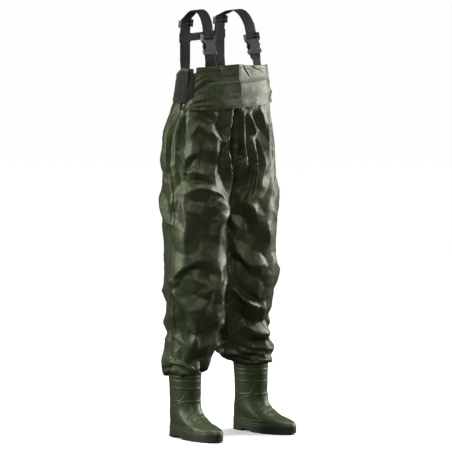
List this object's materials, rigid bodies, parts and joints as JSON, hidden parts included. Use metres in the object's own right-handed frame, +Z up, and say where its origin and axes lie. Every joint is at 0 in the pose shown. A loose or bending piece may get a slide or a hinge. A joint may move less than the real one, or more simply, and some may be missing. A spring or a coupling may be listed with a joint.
{
  "type": "chest waders",
  "caption": "Waterproof chest waders with an elasticated back, a front pocket, webbing braces on side-release buckles and moulded boots.",
  "frame": {"origin": "on the ground, under the middle of the whole object's box", "axes": "+Z up from the soles to the braces; -Y is the way the wearer faces; -X is the wearer's right"},
  "size_m": [0.4928, 0.3267, 1.526],
  "materials": {
    "cloth": "coated nylon, low sheen",
    "elastic_knit": "ribbed elastic knit, matt",
    "webbing": "woven polypropylene, matt",
    "boot_rubber": "moulded PVC, satin",
    "sole_rubber": "moulded PVC, matt",
    "weld_tape": "welded seam tape, satin",
    "insole_foam": "felt-topped foam, matt",
    "buckle_plastic": "moulded acetal, satin",
    "lock_plastic": "moulded plastic, matt",
    "spring_steel": "bright wire",
    "shock_cord": "braided elastic cord"
  },
  "bodies": {
    "waders": {"right_front_panel": "cloth", "right_back_panel": "cloth", "left_front_panel": "cloth", "left_back_panel": "cloth", "front_bib": "cloth", "chest_pocket": "cloth", "pocket_hem": "cloth", "back_binding": "cloth", "back_elastic": "elastic_knit", "right_front_tab": "webbing", "left_front_tab": "webbing", "right_brace": "webbing", "left_brace": "webbing", "right_back_strap": "webbing", "left_back_strap": "webbing", "right_boot_upper": "boot_rubber", "left_boot_upper": "boot_rubber", "right_boot_outsole": "sole_rubber", "left_boot_outsole": "sole_rubber", "right_weld_band": "weld_tape", "left_weld_band": "weld_tape", "right_boot_insole": "insole_foam", "left_boot_insole": "insole_foam", "right_plug_base": "buckle_plastic", "left_plug_base": "buckle_plastic", "right_lock_barrel": "lock_plastic", "left_lock_barrel": "lock_plastic", "right_lock_spring": "spring_steel", "left_lock_spring": "spring_steel", "waist_cord": "shock_cord"},
    "right_socket": {"right_buckle_socket": "buckle_plastic"},
    "right_outer_arm": {"right_plug_outer_arm": "buckle_plastic"},
    "right_inner_arm": {"right_plug_inner_arm": "buckle_plastic"},
    "right_adjuster_slide": {"right_adjuster": "buckle_plastic"},
    "right_lock_button": {"right_lock_plunger": "lock_plastic"},
    "left_socket": {"left_buckle_socket": "buckle_plastic"},
    "left_outer_arm": {"left_plug_outer_arm": "buckle_plastic"},
    "left_inner_arm": {"left_plug_inner_arm": "buckle_plastic"},
    "left_adjuster_slide": {"left_adjuster": "buckle_plastic"},
    "left_lock_button": {"left_lock_plunger": "lock_plastic"},
    "cross_strap_slide": {"cross_strap": "webbing", "right_keeper": "webbing", "left_keeper": "webbing"}
  },
  "joints": [
    {"name": "right_socket_slide", "type": "slide", "parent": "waders", "child": "right_socket", "axis": [0.0682, 0.2079, 0.9758], "range_m": [0, 0.03]},
    {"name": "right_outer_arm_squeeze", "type": "hinge", "parent": "waders", "child": "right_outer_arm", "pos_m": [-0.12011, -0.02569, 1.39153], "axis": [-0.0145, 0.9781, -0.2074], "range_deg": [0, 7], "stiffness_Nm_per_rad": 1.2},
    {"name": "right_inner_arm_squeeze", "type": "hinge", "parent": "waders", "child": "right_inner_arm", "pos_m": [-0.08969, -0.02569, 1.3894], "axis": [0.0145, -0.9781, 0.2074], "range_deg": [0, 7], "stiffness_Nm_per_rad": 1.2},
    {"name": "right_adjuster_travel", "type": "slide", "parent": "waders", "child": "right_adjuster_slide", "axis": [0, -0.1392, 0.9903], "range_m": [-0.012, 0.003]},
    {"name": "right_lock_press", "type": "slide", "parent": "waders", "child": "right_lock_button", "axis": [0, 0, -1], "range_m": [0, 0.003], "stiffness_N_per_m": 600, "springref_m": -0.004, "deforming": ["right_lock_spring"]},
    {"name": "left_socket_slide", "type": "slide", "parent": "waders", "child": "left_socket", "axis": [-0.0682, 0.2079, 0.9758], "range_m": [0, 0.03]},
    {"name": "left_outer_arm_squeeze", "type": "hinge", "parent": "waders", "child": "left_outer_arm", "pos_m": [0.12011, -0.02569, 1.37753], "axis": [-0.0145, -0.9781, 0.2074], "range_deg": [0, 7], "stiffness_Nm_per_rad": 1.2},
    {"name": "left_inner_arm_squeeze", "type": "hinge", "parent": "waders", "child": "left_inner_arm", "pos_m": [0.08969, -0.02569, 1.3754], "axis": [0.0145, 0.9781, -0.2074], "range_deg": [0, 7], "stiffness_Nm_per_rad": 1.2},
    {"name": "left_adjuster_travel", "type": "slide", "parent": "waders", "child": "left_adjuster_slide", "axis": [0, -0.1392, 0.9903], "range_m": [-0.012, 0.003]},
    {"name": "left_lock_press", "type": "slide", "parent": "waders", "child": "left_lock_button", "axis": [0, 0, -1], "range_m": [0, 0.003], "stiffness_N_per_m": 600, "springref_m": -0.004, "deforming": ["left_lock_spring"]},
    {"name": "cross_strap_travel", "type": "slide", "parent": "waders", "child": "cross_strap_slide", "axis": [0, 0, 1], "range_m": [-0.06, 0.003]}
  ]
}
